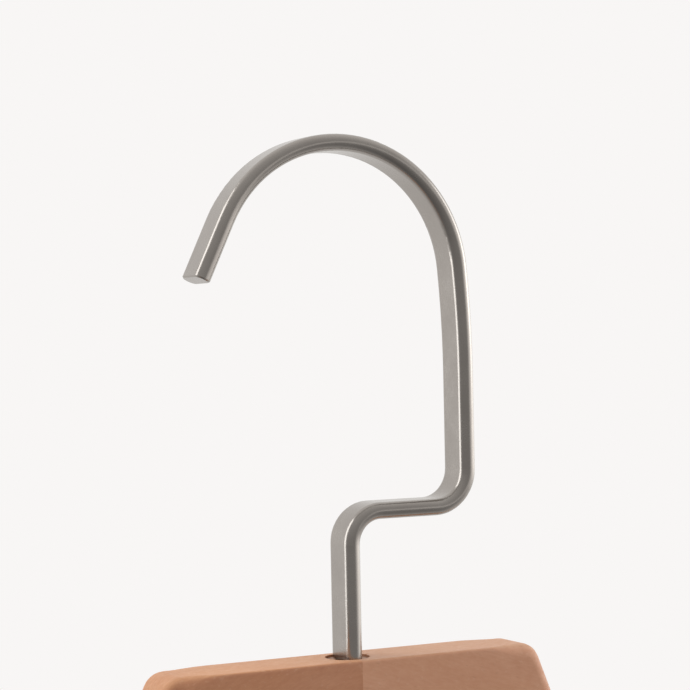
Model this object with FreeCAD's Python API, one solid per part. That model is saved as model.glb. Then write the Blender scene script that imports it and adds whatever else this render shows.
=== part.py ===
"""Wooden clothes hanger with a flat-bar swivel hook and a trouser bar.

Frame: +Z up, +X along the arms, -Y the front. The origin is on the swivel axis, on the inside of
the hook's crown, where the rail carries the hanger. Sizes are in millimetres. Every function below
draws its piece with Z = 0 on the flat top of the wood, and export() moves it down to the frame.
"""
import FreeCAD, Part
import math
import os
from FreeCAD import Vector

# Hook: flat bar with half-round edges, bent the easy way in the XZ plane
BAR_THICK = 3.0
BAR_WIDTH = 7.8
SHANK_RISE = 20.0        # wood top to the first bend
JOG_BEND_R = 5.8         # bend radii are to the middle of the bar
JOG_RUN = 11.5
RISE_BEND_R = 6.7
RISE = 17.2
LEAN_R = 210.0           # the riser curves over gently before the crown
LEAN_DEG = 5.3
CROWN_R = 24.3
CROWN_DEG = 149.5
TAIL = 11.3
TIP_CHAMFER = 0.25

# Turned end of the hook and the swivel inside the wood
SHOULDER = -0.15         # the full bar just enters the hole, then it is turned down to the tang
TANG_R = 2.1
TANG_END = -20.0
RUNNING_GAP = 0.05
BORE_R = 4.0
BORE_DEPTH = 22.0
BARREL_TOP = -1.2
BARREL_STEP = -14.0      # above it the bearing, below it the chamber for washer and nut
CHAMBER_R = 3.5
GLUE_GROOVE = 0.25
GROOVE_HEIGHT = 1.0
GROOVE_PITCH = 3.0
GROOVES = 3
WASHER_GAP = 0.1
THRUST_WASHER_T = 0.8
SPRING_WASHER_T = 0.9
SPRING_SLIT = 0.6
RETAINING_WASHER_T = 0.8
RETAINER_R = 3.1
NUT_HEIGHT = 3.2
NUT_SLOT_WIDTH = 1.2
NUT_SLOT_DEPTH = 1.0

# Wood: two flat arms glued together on the centre plane
BOARD = 11.5
EDGE_R = 2.0
TOP_EDGE_R = 0.5         # the flat top of the neck has crisp edges
NECK_EDGE_R = 2.2        # they grow rounder towards its corners, and stay so down the flanks
EDGE_GROWTH = 8.0
NECK_HALF = 36.4         # sharp corner of the flat top, before rounding
NECK_CORNER_R = 4.0
FLANK_DEG = 68.0
FLANK_DROP = 24.7
SHOULDER_R = 34.0
SHOULDER_CREST = (135.0, 49.5)   # distance out and drop of the shoulder's gentle crest
CREST_R = 1300.0
HALF_SPAN = 222.0
SHOULDER_DROP = 84.0
TIP_R = 15.0
EAR_BOTTOM = 116.0
EAR_WIDTH = 23.0
EAR_OUTER_R = 7.0
EAR_INNER_R = 5.0
UNDERSIDE_EAR_DROP = 93.5
UNDERSIDE_EAR_R = 7.0
UNDERSIDE_ARCH = (115.0, 72.5)   # distance out and drop of the arm's gently arched underside
ARCH_R = 1000.0
UNDERSIDE_DROP = 55.0
UNDERSIDE_HALF = 30.0
UNDERSIDE_R = 70.0

# Dowels across the glued joint
DOWEL_R = 3.0
DOWEL_HALF = 15.0
DOWEL_DROPS = (31.0, 44.0)
DOWEL_CHAMFER = 0.6

# Trouser bar, its sleeve and its screws
ROD_R = 5.0
ROD_DROP = 105.0
TENON_R = 3.0
TENON = 12.0
SLEEVE_HALF = 160.0
SLEEVE_WALL = 0.6
RIB_HEIGHT = 0.3
RIB_PITCH = 5.0
RIB_WIDTH = 2.5
SCREW_R = 1.7
SCREW_LENGTH = 32.0
SCREW_HEAD_R = 3.3
SCREW_HEAD_T = 2.0
SCREW_SUNK = 0.3
RECESS_HALF = 1.7
RECESS_WIDTH = 0.8
RECESS_DEPTH = 1.1

UP = Vector(0, 0, 1)
EAR_INNER = HALF_SPAN - EAR_WIDTH
CORNER_START = NECK_HALF - NECK_CORNER_R * math.tan(math.radians(FLANK_DEG) / 2)
FLANK_OUT = FLANK_DROP / math.tan(math.radians(FLANK_DEG))
SCREW_FACE = HALF_SPAN - SCREW_SUNK
OVERCUT = 4.0            # how far tools and blanks reach past the face they are cut by
TOUCHING = 1e-6

# The hook from the end of its tang to its tip: (length, 0) for a straight run, (radius, turn in
# degrees) for a bend. A positive turn goes from +Z towards -X.
HOOK_STRETCHES = (
    (SHANK_RISE - TANG_END, 0),
    (JOG_BEND_R, -90),
    (JOG_RUN, 0),
    (RISE_BEND_R, 90),
    (RISE, 0),
    (LEAN_R, LEAN_DEG),
    (CROWN_R, CROWN_DEG),
    (TAIL, 0),
)


def heading(angle):
    """Unit vector in the XZ plane, turned from +Z towards -X."""
    return Vector(-math.sin(angle), 0, math.cos(angle))


def hook_stretches():
    """Each stretch of the hook as (start, angle, bend centre or None, size, turn in degrees)."""
    point = Vector(0, 0, TANG_END)
    angle = 0.0
    for size, turn in HOOK_STRETCHES:
        if turn == 0:
            yield point, angle, None, size, turn
            point = point + heading(angle) * size
            continue
        side = math.copysign(size, turn)
        centre = point + heading(angle + math.pi / 2) * side
        yield point, angle, centre, size, turn
        angle += math.radians(turn)
        point = centre - heading(angle + math.pi / 2) * side


def seat_height():
    """Height above the wood of the crown's inside face, on the swivel axis."""
    centre = [stretch[2] for stretch in hook_stretches() if stretch[3] == CROWN_R][0]
    inner = CROWN_R - BAR_THICK / 2
    return centre.z + math.sqrt(inner ** 2 - centre.x ** 2)


def cylinder(radius, bottom, top):
    return Part.makeCylinder(radius, top - bottom, Vector(0, 0, bottom))


def ring(outer, inner, bottom, top):
    return cylinder(outer, bottom, top).cut(cylinder(inner, bottom, top))


def bar_section(point, angle):
    """Cross-section of the bar at a point of its centre line: flat sides, half-round edges."""
    across = heading(angle + math.pi / 2) * (BAR_THICK / 2)
    side = Vector(0, (BAR_WIDTH - BAR_THICK) / 2, 0)
    edge = Vector(0, BAR_WIDTH / 2, 0)
    wire = Part.Wire([
        Part.LineSegment(point + across - side, point + across + side).toShape(),
        Part.Arc(point + across + side, point + edge, point - across + side).toShape(),
        Part.LineSegment(point - across + side, point - across - side).toShape(),
        Part.Arc(point - across - side, point - edge, point + across - side).toShape(),
    ])
    return Part.Face(wire)


def hook():
    """Bent bar, turned down at its lower end, with its tip cut square and lightly broken."""
    solids = []
    for point, angle, centre, size, turn in hook_stretches():
        section = bar_section(point, angle)
        if centre is None:
            solids.append(section.extrude(heading(angle) * size))
        else:
            solids.append(section.revolve(centre, Vector(0, -1, 0), turn))
    tail = solids.pop()
    tip = point + heading(angle) * size
    end_face = min(tail.Faces, key=lambda face: face.CenterOfMass.distanceToPoint(tip))
    tail = tail.makeChamfer(TIP_CHAMFER, end_face.Edges)
    bar = solids[0].multiFuse(solids[1:] + [tail]).removeSplitter()
    return bar.cut(ring(BAR_WIDTH, TANG_R, TANG_END, SHOULDER))


def thrust_washer():
    """Fibre washer just below the wood's top, that the hook's shoulder turns above."""
    return ring(BAR_WIDTH / 2, TANG_R + WASHER_GAP, BARREL_TOP, BARREL_TOP + THRUST_WASHER_T)


def swivel_barrel():
    """Sleeve pressed and glued into the wood: a bearing above, a chamber below."""
    barrel = ring(BORE_R, TANG_R + RUNNING_GAP, -BORE_DEPTH, BARREL_TOP)
    barrel = barrel.cut(cylinder(CHAMBER_R, -BORE_DEPTH, BARREL_STEP))
    for index in range(1, GROOVES + 1):
        top = BARREL_TOP - index * GROOVE_PITCH
        barrel = barrel.cut(ring(BORE_R, BORE_R - GLUE_GROOVE, top - GROOVE_HEIGHT, top))
    return barrel


def spring_washer():
    """Split washer under the barrel's step, that takes up the play of the swivel."""
    top = BARREL_STEP - WASHER_GAP
    washer = ring(RETAINER_R, TANG_R + WASHER_GAP, top - SPRING_WASHER_T, top)
    corner = Vector(0, -SPRING_SLIT / 2, top - SPRING_WASHER_T)
    return washer.cut(Part.makeBox(RETAINER_R, SPRING_SLIT, SPRING_WASHER_T, corner))


def retaining_washer():
    top = BARREL_STEP - WASHER_GAP - SPRING_WASHER_T
    return ring(RETAINER_R, TANG_R + WASHER_GAP, top - RETAINING_WASHER_T, top)


def tang_nut():
    """Round slotted nut on the tang's threaded end."""
    top = BARREL_STEP - WASHER_GAP - SPRING_WASHER_T - RETAINING_WASHER_T
    bottom = top - NUT_HEIGHT
    nut = ring(RETAINER_R, TANG_R, bottom, top)
    slot = Part.makeBox(2 * RETAINER_R, NUT_SLOT_WIDTH, NUT_SLOT_DEPTH,
                        Vector(-RETAINER_R, -NUT_SLOT_WIDTH / 2, bottom))
    return nut.cut(slot)


def outline(corners):
    """Closed wire in the XZ plane through (x, z, radius) corners, rounded by tangent arcs."""
    edges = []
    ends = []
    for index, (x, z, radius) in enumerate(corners):
        corner = Vector(x, 0, z)
        before = Vector(corners[index - 1][0], 0, corners[index - 1][1]) - corner
        following = corners[(index + 1) % len(corners)]
        after = Vector(following[0], 0, following[1]) - corner
        if radius == 0:
            ends.append((corner, corner))
            continue
        before.normalize()
        after.normalize()
        half_angle = before.getAngle(after) / 2
        start = corner + before * (radius / math.tan(half_angle))
        end = corner + after * (radius / math.tan(half_angle))
        inward = before + after
        inward.normalize()
        middle = corner + inward * (radius / math.sin(half_angle) - radius)
        edges.append(Part.Arc(start, middle, end).toShape())
        ends.append((start, end))
    for index, (start, _) in enumerate(ends):
        edges.append(Part.LineSegment(ends[index - 1][1], start).toShape())
    return Part.Wire(Part.sortEdges(edges)[0])


def rim_radius(point):
    """Radius of the board's rounded edge at a point of its outline."""
    if abs(point.z) < TOUCHING and point.x < CORNER_START - TOUCHING:
        return TOP_EDGE_R
    if point.z > -FLANK_DROP and point.x < NECK_HALF + FLANK_OUT:
        return NECK_EDGE_R
    return EDGE_R


def arm_board():
    """Right-hand arm before it is drilled: half of the neck, the shoulder and the ear."""
    wire = outline((
        (0, 0, 0),
        (CORNER_START - EDGE_GROWTH, 0, 0),
        (NECK_HALF, 0, NECK_CORNER_R),
        (NECK_HALF + FLANK_OUT, -FLANK_DROP, SHOULDER_R),
        (SHOULDER_CREST[0], -SHOULDER_CREST[1], CREST_R),
        (HALF_SPAN, -SHOULDER_DROP, TIP_R),
        (HALF_SPAN, -EAR_BOTTOM, EAR_OUTER_R),
        (EAR_INNER, -EAR_BOTTOM, EAR_INNER_R),
        (EAR_INNER, -UNDERSIDE_EAR_DROP, UNDERSIDE_EAR_R),
        (UNDERSIDE_ARCH[0], -UNDERSIDE_ARCH[1], ARCH_R),
        (UNDERSIDE_HALF, -UNDERSIDE_DROP, UNDERSIDE_R),
        (0, -UNDERSIDE_DROP, 0),
    ))
    wire.translate(Vector(0, -BOARD / 2, 0))
    board = Part.Face(wire).extrude(Vector(0, BOARD, 0))
    document = FreeCAD.newDocument()
    blank = document.addObject("Part::Feature", "blank")
    blank.Shape = board
    rounded = document.addObject("Part::Fillet", "rounded")
    rounded.Base = blank
    rounded.Edges = [
        (number, rim_radius(edge.valueAt(edge.FirstParameter)), rim_radius(edge.valueAt(edge.LastParameter)))
        for number, edge in enumerate(board.Edges, 1)
        if abs(abs(edge.CenterOfMass.y) - BOARD / 2) < TOUCHING and edge.CenterOfMass.x > TOUCHING
    ]
    document.recompute()
    return rounded.Shape.copy()


def rod_along_x(radius, start, end, drop):
    return Part.makeCylinder(radius, end - start, Vector(start, 0, -drop), Vector(1, 0, 0))


def bar_rod(radius, start, end):
    """Rod on the trouser bar's own axis."""
    return rod_along_x(radius, start, end, ROD_DROP)


def screw_blank():
    """Right-hand screw without its recess."""
    shank = bar_rod(SCREW_R, HALF_SPAN - SCREW_LENGTH, SCREW_FACE)
    centre = Vector(SCREW_FACE, 0, -ROD_DROP)
    head = Part.makeCone(SCREW_HEAD_R, SCREW_R, SCREW_HEAD_T, centre, Vector(-1, 0, 0))
    return shank.fuse(head)


def screw():
    blank = screw_blank()
    for height, width in ((RECESS_HALF, RECESS_WIDTH / 2), (RECESS_WIDTH / 2, RECESS_HALF)):
        corner = Vector(SCREW_FACE - RECESS_DEPTH, -width, -ROD_DROP - height)
        blank = blank.cut(Part.makeBox(RECESS_DEPTH, 2 * width, 2 * height, corner))
    return blank


def arm():
    """Right-hand arm with the hook's bore, the dowel holes, the tenon socket and the screw hole."""
    board = arm_board().cut(cylinder(BORE_R, -BORE_DEPTH, OVERCUT))
    for drop in DOWEL_DROPS:
        board = board.cut(rod_along_x(DOWEL_R, 0, DOWEL_HALF, drop))
    board = board.cut(bar_rod(TENON_R, EAR_INNER - OVERCUT, EAR_INNER + TENON))
    board = board.cut(bar_rod(SCREW_HEAD_R, SCREW_FACE, SCREW_FACE + OVERCUT))
    return board.cut(screw_blank())


def mirrored(shape):
    return shape.mirror(Vector(0, 0, 0), Vector(1, 0, 0))


def dowels():
    pins = []
    for drop in DOWEL_DROPS:
        pin = rod_along_x(DOWEL_R, -DOWEL_HALF, DOWEL_HALF, drop)
        ends = [edge for edge in pin.Edges if abs(abs(edge.CenterOfMass.x) - DOWEL_HALF) < TOUCHING]
        pins.append(pin.makeChamfer(DOWEL_CHAMFER, ends))
    return Part.makeCompound(pins)


def trouser_bar():
    """Round rod fitted between the ears, with a tenon at each end, drilled for its two screws."""
    rod = bar_rod(ROD_R, -EAR_INNER - OVERCUT, EAR_INNER + OVERCUT)
    ear = arm_board()
    rod = rod.cut(ear).cut(mirrored(ear))
    rod = rod.fuse(bar_rod(TENON_R, -EAR_INNER - TENON, EAR_INNER + TENON))
    pilot = screw_blank()
    return rod.cut(pilot).cut(mirrored(pilot))


def bar_sleeve():
    """Soft ribbed tube on the middle of the trouser bar, that stops cloth from slipping."""
    tube = bar_rod(ROD_R + SLEEVE_WALL, -SLEEVE_HALF, SLEEVE_HALF)
    count = int(2 * SLEEVE_HALF / RIB_PITCH)
    ribs = []
    for index in range(count):
        start = -SLEEVE_HALF + (index + 0.5) * RIB_PITCH - RIB_WIDTH / 2
        ribs.append(bar_rod(ROD_R + SLEEVE_WALL + RIB_HEIGHT, start, start + RIB_WIDTH))
    tube = tube.multiFuse(ribs)
    return tube.cut(bar_rod(ROD_R, -SLEEVE_HALF, SLEEVE_HALF))


def export(name, shape):
    placed = shape.copy()
    placed.translate(-UP * seat_height())
    placed.exportStep(f"parts/{name}.step")
    print(f"{name}: solids {len(placed.Solids)}, valid {placed.isValid()}, volume {placed.Volume:.1f}")


def main():
    os.makedirs("parts", exist_ok=True)
    right_arm = arm()
    right_screw = screw()
    export("hook", hook())
    export("thrust_washer", thrust_washer())
    export("swivel_barrel", swivel_barrel())
    export("spring_washer", spring_washer())
    export("retaining_washer", retaining_washer())
    export("tang_nut", tang_nut())
    export("right_arm", right_arm)
    export("left_arm", mirrored(right_arm))
    export("joint_dowels", dowels())
    export("trouser_bar", trouser_bar())
    export("bar_sleeve", bar_sleeve())
    export("bar_screws", Part.makeCompound([right_screw, mirrored(right_screw)]))


main()
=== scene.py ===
"""Looks of the wooden clothes hanger: satin flat-bar hook, two glued boards, ribbed trouser bar."""

import math

import bmesh
import bpy
from mathutils import Matrix, Vector


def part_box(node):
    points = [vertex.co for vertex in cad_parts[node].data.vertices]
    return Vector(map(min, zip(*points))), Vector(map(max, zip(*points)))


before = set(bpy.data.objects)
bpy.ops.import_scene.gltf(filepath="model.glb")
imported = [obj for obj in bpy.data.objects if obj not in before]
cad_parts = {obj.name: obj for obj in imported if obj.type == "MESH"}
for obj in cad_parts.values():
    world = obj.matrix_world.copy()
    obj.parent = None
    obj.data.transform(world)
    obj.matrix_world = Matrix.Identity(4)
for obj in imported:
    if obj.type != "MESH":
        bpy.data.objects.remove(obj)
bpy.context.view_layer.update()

MM = 0.001

# The swivel axis is Z through the origin, and the wood's flat top is at this height
WOOD_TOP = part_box("left_arm")[1].z
HOOK_MIDDLE = Vector((0, 0, WOOD_TOP / 2))

# Camera, solved for a bar 3 mm thick: where it stands, round to the left of the front, and where it looks
CAMERA_AZIMUTH = math.radians(27.605)
CAMERA_YAW = math.radians(27.711)
CAMERA_PITCH = math.radians(-0.18)
CAMERA_ROLL = math.radians(-1.149)
CAMERA_DISTANCE = 376.3 * MM
CAMERA_OVER_WOOD = 56.55 * MM
FOCAL_IN_WIDTHS = 3.0705
SENSOR_WIDTH = 36.0
CLIP_START = 10 * MM

# Plain off-white that the camera sees behind the hanger
BACKDROP = (0.939, 0.922, 0.913, 1.0)

# Where the values of a noise texture mostly lie, and a slightly narrower range for patches of colour
NOISE_LOW = 0.3
NOISE_HIGH = 0.7
PATCH_LOW = 0.32
PATCH_HIGH = 0.68

# Surface detail: noise scales are per metre, one for each axis where there are three
METAL_CLOUDS = 180
METAL_WAVES = 700
METAL_SPECKLE = 9000
METAL_BUMP = 0.02 * MM
TARNISH_SCALE = 420
TARNISH_SHADE = 0.72
TURNED_ACROSS = 200
BLOOM_SCALE = 150
PLASTIC_GRAIN = 6000
PLASTIC_BUMP = 0.03 * MM
SUBSURFACE_RADIUS = (0.0016, 0.0012, 0.0009)

# The wood's figure, from broad to fine. The grain runs along the first axis
WARP_SCALE = (30, 80, 80)
RING_SCALE = (55, 130, 170)
FIBRE_SCALE = (520, 1900, 1900)
PORE_SCALE = (900, 3600, 3600)
FLECK_SCALE = (1100, 1900, 1500)
SEED_STEP = (0.31, 0.17, 0.23)

# Noise values between which warp, pores and flecks set in, and how strongly each layer shows
WARP_SPAN = (0.35, 0.65)
PORE_SPAN = (0.64, 0.78)
FLECK_SPAN = (0.60, 0.74)
WARP_AMOUNT = 0.6
FIBRE_AMOUNT = 0.14
PORE_AMOUNT = 0.10
FLECK_AMOUNT = 0.12
PORE_COLOUR = (0.20, 0.095, 0.055, 1.0)
FLECK_COLOUR = (0.84, 0.58, 0.43, 1.0)
FIBRE_BUMP = 0.05 * MM
PORE_BUMP = 0.06 * MM
LACQUER_IOR = 1.46
LACQUER_SPECULAR = 0.38

# Size of the normal's Y between which a board's faces other than front and back, which carry painted
# light, turn into its broad ones
PAINTED_LIGHT_SPAN = (0.45, 0.9)


# ---------------------------------------------------------------- node helpers

class Nodes:
    """Short names for building one shader tree."""

    def __init__(self, tree):
        self.tree = tree
        tree.nodes.clear()

    def add(self, kind, **settings):
        node = self.tree.nodes.new(kind)
        for name, value in settings.items():
            setattr(node, name, value)
        return node

    def link(self, source, target):
        self.tree.links.new(source, target)

    def feed(self, socket, value):
        """A value for a socket: a link if it is an output, otherwise its constant."""
        if isinstance(value, bpy.types.NodeSocket):
            self.link(value, socket)
        else:
            socket.default_value = value

    def math(self, operation, a, b=0.0):
        node = self.add("ShaderNodeMath", operation=operation)
        self.feed(node.inputs[0], a)
        self.feed(node.inputs[1], b)
        return node.outputs[0]

    def vector_math(self, operation, a, b):
        node = self.add("ShaderNodeVectorMath", operation=operation)
        self.feed(node.inputs[0], a)
        self.feed(node.inputs[1], b)
        return node.outputs["Value" if operation == "DOT_PRODUCT" else "Vector"]

    def mapping(self, vector, scale=(1, 1, 1), rotation=(0, 0, 0), location=(0, 0, 0)):
        node = self.add("ShaderNodeMapping")
        self.link(vector, node.inputs["Vector"])
        node.inputs["Scale"].default_value = scale
        node.inputs["Rotation"].default_value = rotation
        node.inputs["Location"].default_value = location
        return node.outputs[0]

    def noise(self, vector, scale, detail=3.0, roughness=0.5, distortion=0.0):
        node = self.add("ShaderNodeTexNoise")
        self.link(vector, node.inputs["Vector"])
        node.inputs["Scale"].default_value = scale
        node.inputs["Detail"].default_value = detail
        node.inputs["Roughness"].default_value = roughness
        node.inputs["Distortion"].default_value = distortion
        return node.outputs["Fac"]

    def stretched_noise(self, vector, scale, **settings):
        """Noise with a scale of its own for each axis."""
        return self.noise(self.mapping(vector, scale=scale), 1.0, **settings)

    def ramp(self, value, stops):
        """Colour ramp with (position, colour) stops."""
        node = self.add("ShaderNodeValToRGB")
        self.link(value, node.inputs[0])
        elements = node.color_ramp.elements
        for element, (position, colour) in zip(elements, stops):
            element.position = position
            element.color = colour
        return node.outputs["Color"]

    def span(self, value, low, high, out_low=0.0, out_high=1.0):
        """Smooth step from out_low at low to out_high at high."""
        node = self.add("ShaderNodeMapRange", interpolation_type="SMOOTHSTEP")
        self.link(value, node.inputs["Value"])
        node.inputs["From Min"].default_value = low
        node.inputs["From Max"].default_value = high
        node.inputs["To Min"].default_value = out_low
        node.inputs["To Max"].default_value = out_high
        return node.outputs[0]

    def sway(self, noise, out_low, out_high):
        """Carries the usual range of a noise to out_low and out_high."""
        return self.span(noise, NOISE_LOW, NOISE_HIGH, out_low, out_high)

    def mix(self, factor, a, b, blend="MIX"):
        node = self.add("ShaderNodeMix", data_type="RGBA", blend_type=blend)
        self.feed(node.inputs[0], factor)
        self.feed(node.inputs[6], a)
        self.feed(node.inputs[7], b)
        return node.outputs[2]

    def bump(self, height, strength, distance, normal=None):
        node = self.add("ShaderNodeBump")
        node.inputs["Strength"].default_value = strength
        node.inputs["Distance"].default_value = distance
        self.link(height, node.inputs["Height"])
        if normal is not None:
            self.link(normal, node.inputs["Normal"])
        return node.outputs[0]


def new_material(name):
    """An empty material with a Principled shader on its output."""
    material = bpy.data.materials.new(name)
    material.use_nodes = True
    nodes = Nodes(material.node_tree)
    shader = nodes.add("ShaderNodeBsdfPrincipled")
    output = nodes.add("ShaderNodeOutputMaterial")
    nodes.link(shader.outputs[0], output.inputs["Surface"])
    position = nodes.add("ShaderNodeTexCoord").outputs["Object"]
    return material, nodes, shader, position


# ---------------------------------------------------------------- materials

def satin_metal(name, dark, light, roughness, grain=1.0):
    """Plated metal with a fine blasted finish: faint clouding, micro-dents and soft gloss."""
    material, nodes, shader, position = new_material(name)
    clouds = nodes.noise(position, METAL_CLOUDS, detail=4, roughness=0.6)
    speckle = nodes.noise(position, METAL_SPECKLE, detail=2, roughness=0.7)
    waves = nodes.noise(position, METAL_WAVES, detail=2)
    shader.inputs["Metallic"].default_value = 1.0
    nodes.link(nodes.ramp(clouds, ((NOISE_LOW, dark), (NOISE_HIGH, light))), shader.inputs["Base Color"])
    gloss = nodes.math("ADD", nodes.sway(clouds, -0.02, 0.02), nodes.sway(speckle, -0.04, 0.04))
    nodes.link(nodes.math("ADD", gloss, roughness), shader.inputs["Roughness"])
    dents = nodes.bump(speckle, 0.12 * grain, METAL_BUMP)
    nodes.link(nodes.bump(waves, 0.10 * grain, METAL_BUMP, dents), shader.inputs["Normal"])
    return material


def wood(name, early, late, tint, grain_tilt, seed, cut_tone_and_painted_light=(1, 1, 1, 1)):
    """Fine-grained hardwood under matt lacquer. The grain runs along X, tilted in the XZ plane.

    The last argument multiplies the colour of the board's faces other than its front and back: partly
    their own tone where the outline was cut across the grain, partly painted light that makes them lighter
    and paler, standing in for the lacquer's sheen and the light from above and the sides.
    """
    material, nodes, shader, position = new_material(name)
    shift = tuple(seed * step for step in SEED_STEP)
    board = nodes.mapping(position, rotation=(0, grain_tilt, 0), location=shift)
    warp = nodes.stretched_noise(board, WARP_SCALE, detail=3)
    rings = nodes.stretched_noise(board, RING_SCALE, detail=4, roughness=0.6, distortion=0.3)
    fibre = nodes.stretched_noise(board, FIBRE_SCALE, detail=3, roughness=0.6)
    pores = nodes.span(nodes.stretched_noise(board, PORE_SCALE, detail=1, roughness=0.4), *PORE_SPAN)
    flecks = nodes.span(nodes.stretched_noise(board, FLECK_SCALE, detail=1, roughness=0.5), *FLECK_SPAN)

    colour = nodes.ramp(rings, ((PATCH_LOW, early), (PATCH_HIGH, late)))
    colour = nodes.mix(nodes.span(warp, *WARP_SPAN, 0.0, WARP_AMOUNT), colour, tint)
    colour = nodes.mix(nodes.sway(fibre, 0.0, FIBRE_AMOUNT), colour, late, "MULTIPLY")
    colour = nodes.mix(nodes.math("MULTIPLY", pores, PORE_AMOUNT), colour, PORE_COLOUR)
    colour = nodes.mix(nodes.math("MULTIPLY", flecks, FLECK_AMOUNT), colour, FLECK_COLOUR)

    normal = nodes.add("ShaderNodeSeparateXYZ")
    nodes.link(nodes.add("ShaderNodeTexCoord").outputs["Normal"], normal.inputs[0])
    # Painted light: faces other than front and back take the tint below, which lightens and pales them as
    # sheen and top light would
    painted_light_faces = nodes.span(nodes.math("ABSOLUTE", normal.outputs["Y"]), *PAINTED_LIGHT_SPAN, 1.0, 0.0)
    colour = nodes.mix(painted_light_faces, colour, nodes.mix(1.0, colour, cut_tone_and_painted_light, "MULTIPLY"))

    nodes.link(colour, shader.inputs["Base Color"])
    nodes.link(nodes.sway(fibre, 0.48, 0.60), shader.inputs["Roughness"])
    shader.inputs["IOR"].default_value = LACQUER_IOR
    shader.inputs["Specular IOR Level"].default_value = LACQUER_SPECULAR
    raised = nodes.bump(fibre, 0.10, FIBRE_BUMP)
    nodes.link(nodes.bump(pores, -0.16, PORE_BUMP, raised), shader.inputs["Normal"])
    return material


def turned_metal(name, colour, ridge_scale, roughness):
    """Turned metal: fine rings about the swivel axis, with faint tarnish."""
    material, nodes, shader, position = new_material(name)
    rings = nodes.stretched_noise(position, (TURNED_ACROSS, TURNED_ACROSS, ridge_scale), detail=2)
    tarnish = nodes.noise(position, TARNISH_SCALE, detail=4)
    darker = tuple(TARNISH_SHADE * c for c in colour[:3]) + (1.0,)
    shader.inputs["Metallic"].default_value = 1.0
    nodes.link(nodes.ramp(tarnish, ((0.35, darker), (0.65, colour))), shader.inputs["Base Color"])
    nodes.link(nodes.sway(rings, roughness - 0.06, roughness + 0.08), shader.inputs["Roughness"])
    nodes.link(nodes.bump(rings, 0.25, METAL_BUMP), shader.inputs["Normal"])
    return material


def soft_plastic(name, base, shade, roughness, subsurface):
    """Pressed fibre or soft vinyl: clouded by moulding bloom, with dust-fine grain."""
    material, nodes, shader, position = new_material(name)
    bloom = nodes.noise(position, BLOOM_SCALE, detail=4, roughness=0.6)
    grain = nodes.noise(position, PLASTIC_GRAIN, detail=2)
    nodes.link(nodes.ramp(bloom, ((PATCH_LOW, shade), (PATCH_HIGH, base))), shader.inputs["Base Color"])
    nodes.link(nodes.sway(bloom, roughness - 0.05, roughness + 0.07), shader.inputs["Roughness"])
    shader.inputs["Subsurface Weight"].default_value = subsurface
    shader.inputs["Subsurface Radius"].default_value = SUBSURFACE_RADIUS
    nodes.link(nodes.bump(grain, 0.12, PLASTIC_BUMP), shader.inputs["Normal"])
    return material


def dress(node, material):
    """Gives a CAD node its one material."""
    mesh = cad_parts[node].data
    mesh.materials.clear()
    mesh.materials.append(material)


GRAIN_TILT = math.radians(17)

# The left board is darker than the right; its faces other than front and back are painted much lighter and
# paler as painted sheen and light, the right board's barely changed
LEFT_WOOD = wood(
    "left_wood", (0.640, 0.314, 0.183, 1), (0.550, 0.246, 0.135, 1), (0.600, 0.271, 0.140, 1),
    GRAIN_TILT, 3, cut_tone_and_painted_light=(1.25, 1.38, 1.34, 1))
RIGHT_WOOD = wood(
    "right_wood", (0.757, 0.411, 0.264, 1), (0.657, 0.330, 0.200, 1), (0.697, 0.358, 0.213, 1),
    -GRAIN_TILT, 8, cut_tone_and_painted_light=(0.97, 1.04, 1.04, 1))
BAR_WOOD = wood(
    "bar_wood", (0.64, 0.37, 0.24, 1), (0.54, 0.30, 0.19, 1), (0.60, 0.33, 0.21, 1), 0.0, 12)
DOWEL_WOOD = wood(
    "dowel_wood", (0.70, 0.50, 0.32, 1), (0.60, 0.41, 0.25, 1), (0.66, 0.45, 0.28, 1), 0.0, 15)
HOOK_METAL = satin_metal("hook_metal", (0.326, 0.300, 0.279, 1), (0.352, 0.327, 0.304, 1), 0.23, 0.45)
SCREW_STEEL = satin_metal("screw_steel", (0.52, 0.51, 0.50, 1), (0.60, 0.59, 0.58, 1), 0.25)
SWIVEL_STEEL = turned_metal("swivel_steel", (0.56, 0.56, 0.57, 1), 9000, 0.34)
BARREL_BRASS = turned_metal("barrel_brass", (0.70, 0.50, 0.24, 1), 8000, 0.30)
WASHER_FIBRE = soft_plastic("washer_fibre", (0.50, 0.29, 0.19, 1), (0.42, 0.23, 0.15, 1), 0.55, 0.0)
SLEEVE_VINYL = soft_plastic("sleeve_vinyl", (0.62, 0.58, 0.53, 1), (0.55, 0.51, 0.46, 1), 0.38, 0.15)

for node_name, finish in (
    ("hook", HOOK_METAL),
    ("left_arm", LEFT_WOOD),
    ("right_arm", RIGHT_WOOD),
    ("joint_dowels", DOWEL_WOOD),
    ("trouser_bar", BAR_WOOD),
    ("bar_sleeve", SLEEVE_VINYL),
    ("bar_screws", SCREW_STEEL),
    ("swivel_barrel", BARREL_BRASS),
    ("thrust_washer", WASHER_FIBRE),
    ("spring_washer", SWIVEL_STEEL),
    ("retaining_washer", SWIVEL_STEEL),
    ("tang_nut", SWIVEL_STEEL),
):
    dress(node_name, finish)


# ---------------------------------------------------------------- stage, light and camera

TOWARDS_CAMERA = Vector((-math.sin(CAMERA_AZIMUTH), -math.cos(CAMERA_AZIMUTH), 0))
SCREEN_RIGHT = Vector((math.cos(CAMERA_AZIMUTH), -math.sin(CAMERA_AZIMUTH), 0))

# Brightness of the room: on the camera's side at eye level, its change from there to straight up,
# behind the hanger, and low behind it
ROOM_COLOUR = (1.0, 0.985, 0.965, 1.0)
FRONT_LEVEL = 0.43
FRONT_LIFT = 0.26
BACK_LEVEL = 1.0
LOW_BACK_LEVEL = 0.88

# Cosines from the camera's side between which the back turns to the front,
# and heights between which low behind turns to behind
BACK_SPAN = (-0.45, 0.55)
LOW_SPAN = (-0.9, 0.1)

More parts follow.
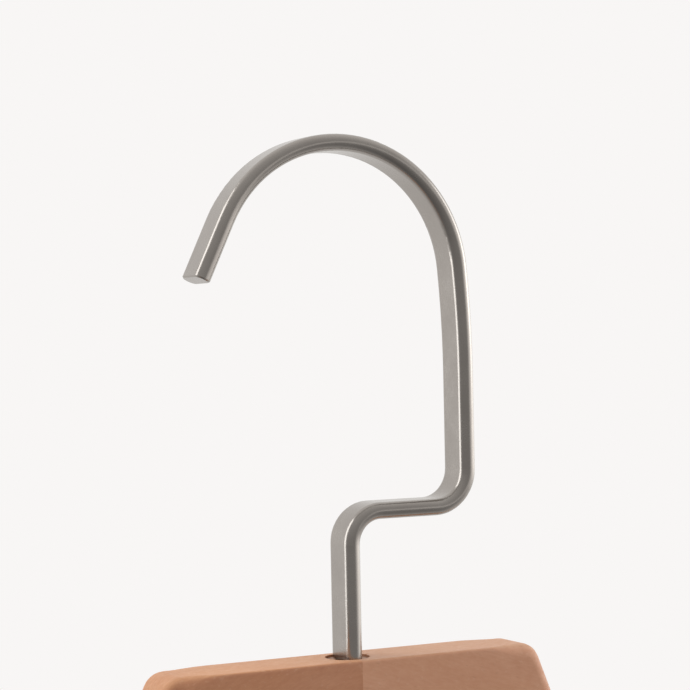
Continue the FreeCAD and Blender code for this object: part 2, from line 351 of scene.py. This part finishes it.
# A wide low glow on the right, like a window: degrees round to it and up, its brightness, its flatness,
# and the cosines from its middle between which it grows
WINDOW_TURN = 106
WINDOW_LIFT = 2
GLOW_LEVEL = 1.25
GLOW_FLATNESS = 5.0
GLOW_SPAN = (0.42, 0.97)

SOFTBOX_COLOUR = (0.97, 0.99, 1.0)

# The floor melts into the backdrop between these distances from the hanger
FLOOR_DROP = 1.4
FLOOR_RADIUS = 9.0
FLOOR_SEGMENTS = 96
FLOOR_COLOUR = (0.86, 0.85, 0.84, 1.0)
FLOOR_MELT = (0.4, 2.6)


def around(degrees, elevation=0.0):
    """Direction turned from the camera's side towards the right of its view, and raised."""
    turn = math.radians(degrees)
    lift = math.radians(elevation)
    flat = TOWARDS_CAMERA * math.cos(turn) + SCREEN_RIGHT * math.sin(turn)
    return flat * math.cos(lift) + Vector((0, 0, math.sin(lift)))


def studio_world():
    """White room, dim on the camera's side, with a low glow on the right. The camera sees the backdrop."""
    world = bpy.data.worlds.new("studio")
    world.use_nodes = True
    bpy.context.scene.world = world
    nodes = Nodes(world.node_tree)
    direction = nodes.add("ShaderNodeTexCoord").outputs["Generated"]
    facing = nodes.vector_math("DOT_PRODUCT", direction, tuple(around(0)))
    height = nodes.vector_math("DOT_PRODUCT", direction, (0, 0, 1))

    front = nodes.math("ADD", nodes.math("MULTIPLY", height, FRONT_LIFT), FRONT_LEVEL)
    back = nodes.span(facing, *BACK_SPAN, 1.0, 0.0)
    behind = nodes.span(height, *LOW_SPAN, LOW_BACK_LEVEL, BACK_LEVEL)
    change = nodes.math("SUBTRACT", behind, front)
    room = nodes.math("ADD", front, nodes.math("MULTIPLY", back, change))

    stretched = nodes.vector_math("MULTIPLY", direction, (1, 1, GLOW_FLATNESS))
    flattened = nodes.vector_math("NORMALIZE", stretched, (0, 0, 0))
    window = tuple(around(WINDOW_TURN, WINDOW_LIFT))
    glow = nodes.span(nodes.vector_math("DOT_PRODUCT", flattened, window), *GLOW_SPAN, 0.0, GLOW_LEVEL)

    plain = nodes.add("ShaderNodeBackground")
    plain.inputs["Color"].default_value = BACKDROP
    lit = nodes.add("ShaderNodeBackground")
    lit.inputs["Color"].default_value = ROOM_COLOUR
    nodes.link(nodes.math("ADD", room, glow), lit.inputs["Strength"])
    chooser = nodes.add("ShaderNodeMixShader")
    nodes.link(nodes.add("ShaderNodeLightPath").outputs["Is Camera Ray"], chooser.inputs[0])
    nodes.link(lit.outputs[0], chooser.inputs[1])
    nodes.link(plain.outputs[0], chooser.inputs[2])
    output = nodes.add("ShaderNodeOutputWorld")
    nodes.link(chooser.outputs[0], output.inputs["Surface"])


def softbox(name, direction, distance, width, height, radiance):
    """Rectangular area light that faces the middle of the hook and has the given radiance."""
    data = bpy.data.lights.new(name, "AREA")
    data.shape = "RECTANGLE"
    data.size = width
    data.size_y = height
    data.energy = radiance * math.pi * width * height
    data.color = SOFTBOX_COLOUR
    lamp = bpy.data.objects.new(name, data)
    bpy.context.scene.collection.objects.link(lamp)
    lamp.location = HOOK_MIDDLE + direction * distance
    lamp.rotation_euler = direction.to_track_quat("Z", "Y").to_euler()
    lamp.visible_camera = False


def floor():
    """Plain pale floor well under the hanging part, that melts into the backdrop further out."""
    mesh = bpy.data.meshes.new("floor")
    shape = bmesh.new()
    bmesh.ops.create_circle(shape, cap_ends=True, segments=FLOOR_SEGMENTS, radius=FLOOR_RADIUS)
    shape.to_mesh(mesh)
    shape.free()
    plane = bpy.data.objects.new("floor", mesh)
    bpy.context.scene.collection.objects.link(plane)
    plane.location.z = -FLOOR_DROP
    plane.visible_diffuse = False
    plane.visible_glossy = False
    material = bpy.data.materials.new("floor")
    material.use_nodes = True
    nodes = Nodes(material.node_tree)
    position = nodes.add("ShaderNodeTexCoord").outputs["Object"]
    length = nodes.add("ShaderNodeVectorMath", operation="LENGTH")
    nodes.link(position, length.inputs[0])
    paint = nodes.add("ShaderNodeBsdfDiffuse")
    paint.inputs["Color"].default_value = FLOOR_COLOUR
    glow = nodes.add("ShaderNodeEmission")
    glow.inputs["Color"].default_value = BACKDROP
    blend = nodes.add("ShaderNodeMixShader")
    nodes.link(nodes.span(length.outputs["Value"], *FLOOR_MELT), blend.inputs[0])
    nodes.link(paint.outputs[0], blend.inputs[1])
    nodes.link(glow.outputs[0], blend.inputs[2])
    output = nodes.add("ShaderNodeOutputMaterial")
    nodes.link(blend.outputs[0], output.inputs["Surface"])
    mesh.materials.append(material)


def camera():
    """Camera at the left front, level with the middle of the hook."""
    data = bpy.data.cameras.new("camera")
    data.sensor_width = SENSOR_WIDTH
    data.lens = SENSOR_WIDTH * FOCAL_IN_WIDTHS
    data.clip_start = CLIP_START
    eye = bpy.data.objects.new("camera", data)
    bpy.context.scene.collection.objects.link(eye)
    forward = Vector((
        math.sin(CAMERA_YAW) * math.cos(CAMERA_PITCH),
        math.cos(CAMERA_YAW) * math.cos(CAMERA_PITCH),
        math.sin(CAMERA_PITCH),
    ))
    level = Vector((math.cos(CAMERA_YAW), -math.sin(CAMERA_YAW), 0))
    upright = level.cross(forward)
    right = level * math.cos(CAMERA_ROLL) + upright * math.sin(CAMERA_ROLL)
    up = upright * math.cos(CAMERA_ROLL) - level * math.sin(CAMERA_ROLL)
    turned = Matrix((right, up, -forward)).transposed().to_4x4()
    place = TOWARDS_CAMERA * CAMERA_DISTANCE + Vector((0, 0, WOOD_TOP + CAMERA_OVER_WOOD))
    eye.matrix_world = Matrix.Translation(place) @ turned
    bpy.context.scene.camera = eye


studio_world()
softbox("left_softbox", around(-96.5, 18), distance=1.0, width=0.48, height=1.1, radiance=2.4)
softbox("right_softbox", around(108, 13), distance=1.0, width=0.5, height=0.5, radiance=1.9)
floor()
camera()
bpy.context.scene.view_settings.view_transform = "Standard"
